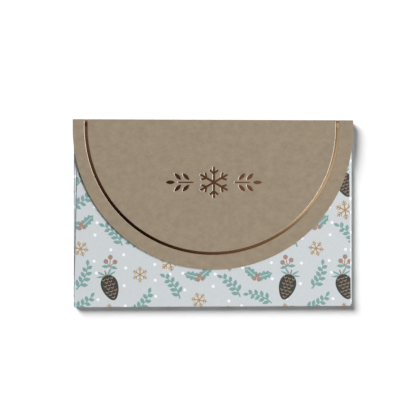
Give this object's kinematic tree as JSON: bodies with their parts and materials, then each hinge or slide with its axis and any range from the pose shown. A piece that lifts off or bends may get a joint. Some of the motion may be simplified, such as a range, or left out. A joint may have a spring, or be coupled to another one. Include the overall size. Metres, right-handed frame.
{
  "type": "gift card holder",
  "caption": "Flat pocket folded from printed card, closed by a round foil-stamped flap that turns on two creases along its top edge; it holds a gift card.",
  "frame": {"origin": "centre of the footprint, on the outer face of the back panel, with the holder lying on its back", "axes": "+X to the right across the width, +Y up the holder towards the fold of the flap, +Z out of its front"},
  "size_m": [0.1142, 0.0762, 0.0046],
  "materials": {
    "printed_card": "satin",
    "taupe_card": "satin",
    "plain_paper": "matte",
    "copper_foil": "polished",
    "magnet_sheet": "matte",
    "glue": "satin"
  },
  "bodies": {
    "pocket": {"back_panel": "printed_card", "left_side_wall": "printed_card", "right_side_wall": "printed_card", "left_side_tab": "printed_card", "right_side_tab": "printed_card", "bottom_wall": "printed_card", "front_panel": "printed_card", "left_seam_glue": "glue", "right_seam_glue": "glue", "pocket_magnet": "magnet_sheet", "pocket_magnet_cover": "plain_paper", "flap_tongue": "taupe_card", "tongue_glue": "glue", "lower_crease": "taupe_card"},
    "top_wall": {"top_wall": "taupe_card"},
    "flap": {"upper_crease": "taupe_card", "flap_face": "taupe_card", "flap_glue": "glue", "flap_liner": "plain_paper", "flap_magnet": "magnet_sheet", "flap_magnet_cover": "plain_paper", "foil_line": "copper_foil", "foil_snowflake": "copper_foil", "foil_sprigs": "copper_foil"}
  },
  "joints": [
    {"name": "top_wall_fold", "type": "hinge", "parent": "pocket", "child": "top_wall", "pos_m": [0, 0.03787, 0.00072], "axis": [-1, 0, 0], "range_deg": [0, 90]},
    {"name": "flap_fold", "type": "hinge", "parent": "top_wall", "child": "flap", "pos_m": [0, 0.03787, 0.00432], "axis": [-1, 0, 0], "range_deg": [0, 90]}
  ]
}
